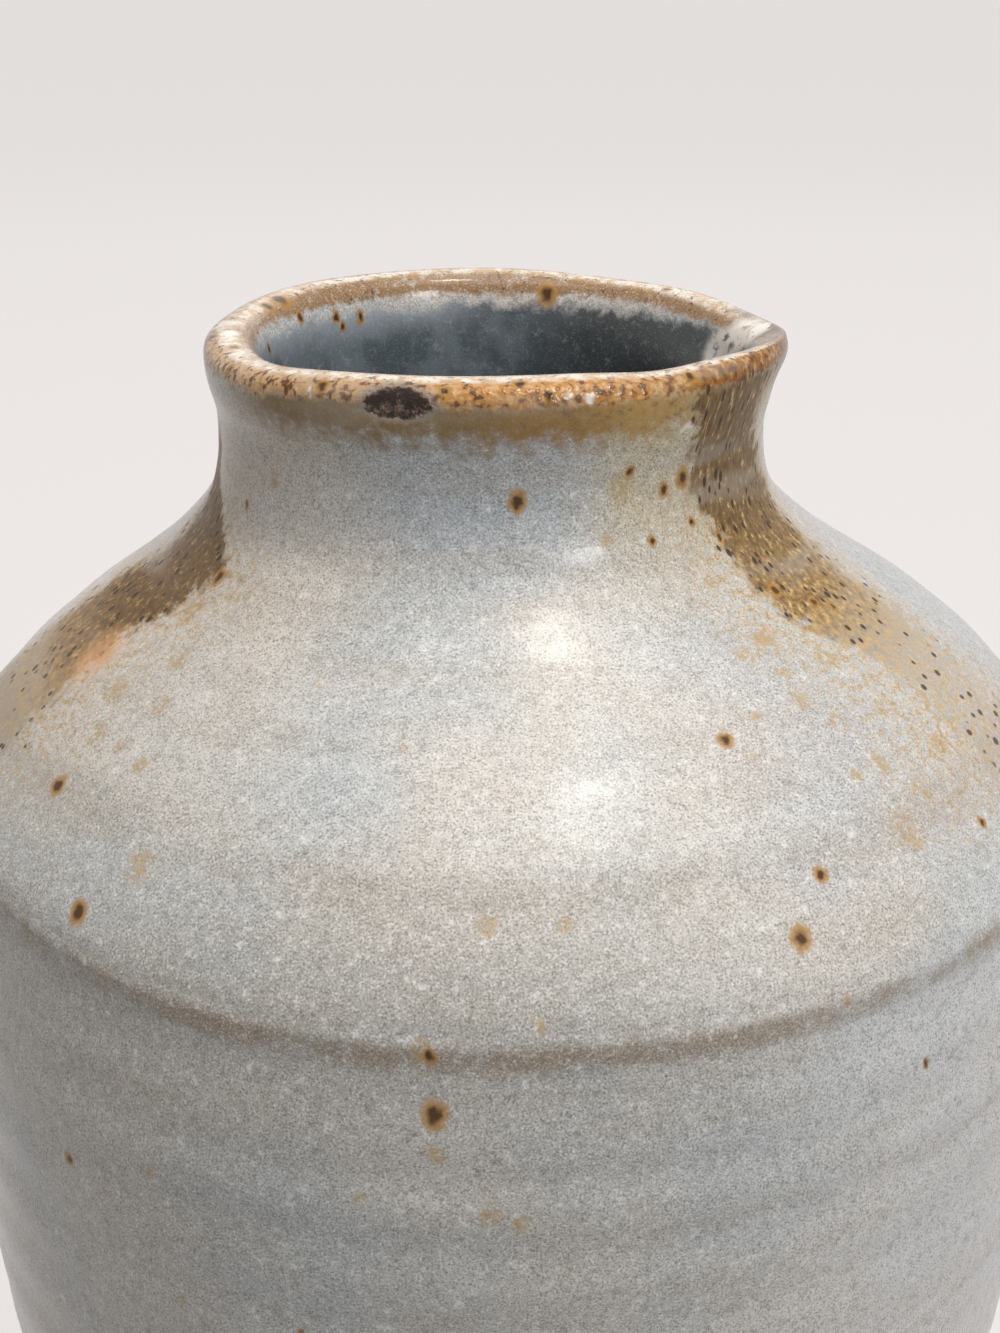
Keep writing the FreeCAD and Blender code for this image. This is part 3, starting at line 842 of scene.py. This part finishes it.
# A painted warm glow on the left shoulder, in place of a warm reflection
painted_glow_in_photo = [(98, 654, 5.5)]
skins = []
for piece in (lower_bowl, upper_bowl, neck_collar):
    corners = [vert.co for vert in piece.data.vertices]
    skins.append(BVHTree.FromPolygons(corners, [face.vertices for face in piece.data.polygons]))


def spot_on_jar(sight, direction):
    """Where a line of sight first meets the glazed jar, in millimetres."""
    hits = [skin.ray_cast(sight, direction) for skin in skins]
    nearest = min((hit for hit in hits if hit[0]), key=lambda hit: hit[3])
    return nearest[0] / mm


blot_size, blot_grain, run_share = 1.2, 1.1, (1, 1, 0.75)
blot_sockets = {"Vector": place, "Scale": 1 / blot_grain, "Detail": 2}
blot = glaze.node("ShaderNodeTexNoise", {}, blot_sockets, "Color")
blot_sockets = {0: blot, 1: [blot_size] * 3, 2: place}
blot = glaze.node("ShaderNodeVectorMath", {"operation": "MULTIPLY_ADD"}, blot_sockets)
blot = stretched(glaze, blot, run_share)
far_away = 9


def nearness(spots):
    """How far the nearest of the spots is, as a share of its own radius."""
    nearest = far_away
    for across_photo, down_photo, spread in spots:
        middle = spot_on_jar(camera_place, ray_through(across_photo, down_photo))
        middle = (middle + Vector([blot_size / 2] * 3)) * Vector(run_share)
        reach = glaze.node("ShaderNodeVectorMath", {"operation": "DISTANCE"}, {0: blot, 1: middle}, "Value")
        nearest = (reach / spread).math("MINIMUM", nearest)
    return nearest


# Painted glow: a warm orange reflection painted onto the left shoulder
painted_glow = ramp(glaze, nearness(painted_glow_in_photo), 1.2, 0.3)
glaze_tone = tint(glaze, painted_glow * 0.6, glaze_tone, fired(232, 176, 124))
# Pale glaze, with painted highlights and painted light among the marks
pale_glaze_and_highlight = ramp(glaze, nearness(pale_and_lit_in_photo), 1.2, 0.5) * ramp(glaze, patch, 0.34, 0.5)
glaze_tone = tint(glaze, pale_glaze_and_highlight * 0.9, glaze_tone, fired(250, 243, 234))
ochre = ramp(glaze, nearness(ochre_in_photo), 1.25, 0.3) * ramp(glaze, beads, 0.38, 0.54)
glaze_tone = tint(glaze, ochre * 0.62, glaze_tone, fired(190, 156, 96))
iron_reach = nearness(iron_in_photo)
glaze_tone = tint(glaze, ramp(glaze, iron_reach, 1.4, 0.75) * 0.85, glaze_tone, fired(184, 136, 64))
iron = ramp(glaze, iron_reach, 0.85, 0.3)
glaze_tone = tint(glaze, iron * 0.95, glaze_tone, fired(70, 40, 14))

# Loose iron spots over the rest of the jar
loose_spacing = 15
loose_sockets = {"Vector": blot, "Scale": 1 / loose_spacing, "Randomness": 1}
loose_reach = glaze.node("ShaderNodeTexVoronoi", {}, loose_sockets, "Distance") * loose_spacing
loose_chance = glaze.node("ShaderNodeTexVoronoi", {}, loose_sockets, "Color")
loose_chance = glaze.node("ShaderNodeSeparateXYZ", {}, {0: loose_chance}, "X")
unseen = ramp(glaze, bearing.math("ABSOLUTE"), 80, 95).math("MAXIMUM", ramp(glaze, up, 112, 104))
loose_reach = loose_reach / (0.3 + loose_chance * 1.1)
loose = unseen * ramp(glaze, loose_chance, 0.3, 0.4) * outside
glaze_tone = tint(glaze, ramp(glaze, loose_reach, 1.3, 0.6) * 0.8 * loose, glaze_tone, fired(186, 134, 66))
glaze_tone = tint(glaze, ramp(glaze, loose_reach, 0.85, 0.4) * 0.85 * loose, glaze_tone, fired(84, 50, 22))

# The burst crater on the front of the lip: black-brown and rough, with a frosted edge
scar_turn, scar_radius, scar_lean, scar_half = math.radians(scar_bearing), 41, -1.5, 2.1
scar_middle = (scar_radius * math.sin(scar_turn) + scar_lean, -scar_radius * math.cos(scar_turn), scar_height)
from_scar = glaze.node("ShaderNodeVectorMath", {"operation": "SUBTRACT"}, {0: place, 1: scar_middle})
from_scar = stretched(glaze, from_scar, (1 / scar_width, 1 / scar_width, 1 / scar_half))
scar_reach = glaze.node("ShaderNodeVectorMath", {"operation": "LENGTH"}, {0: from_scar}, "Value")
scar_reach = scar_reach + (beads - 0.5) * 0.7
scar = ramp(glaze, scar_reach, 1.0, 0.8)
frost = ramp(glaze, scar_reach, 1.3, 1.0) * (1 - scar)
glaze_tone = tint(glaze, frost * 0.75, glaze_tone, fired(156, 148, 142))
scar_tone = tint(glaze, ramp(glaze, fleck, 0.5, 0.68), fired(54, 42, 37), fired(150, 126, 114))
glaze_tone = tint(glaze, scar, glaze_tone, scar_tone)

# Bare clay above the foot
glaze_stop = up + (cloud(glaze, place, 11, 3) - 0.5) * 7
bare = ramp(glaze, glaze_stop, 12.4, 11.8)
toasted = ramp(glaze, glaze_stop, 14.5, 12)
glaze_tone = tint(glaze, toasted * 0.6, glaze_tone, fired(166, 112, 66))
raw_clay = tint(glaze, ramp(glaze, fleck, 0.4, 0.65), fired(160, 126, 96), fired(186, 162, 134))
glaze_tone = tint(glaze, bare, glaze_tone, raw_clay)

# Relief in the coat, and the rings and bands where it shines less
relief_depth, coat_shine, dull_ring_height = 1.0 * mm, 0.32, 163.5
relief = cloud(glaze, place, 1.2, 1) * 0.035 + beads * edge * 0.25
relief = relief + fleck * (0.012 + scar * 0.6 + bare * 0.08)
relief = relief + toasted * 0.1 - bare * 0.3 - hole * 0.1
dull = ramp(glaze, up, 151, 144) * ramp(glaze, up, 126, 136)
dull = dull + ramp(glaze, (up - dull_ring_height).math("ABSOLUTE"), 4, 1) * 0.6 + band
gloss = 0.19 + mottle * 0.08 + dull * 0.22 - lip * 0.08 + scar * 0.5 + frost * 0.25 + bare * 0.5
glaze_shader = surface(glaze, glaze_tone, gloss, relief, relief_depth)
glaze_shader.inputs["Specular IOR Level"].default_value = coat_shine
for piece in (lower_bowl, belly_coil, upper_bowl, neck_collar):
    piece.data.materials.append(glaze.owner)
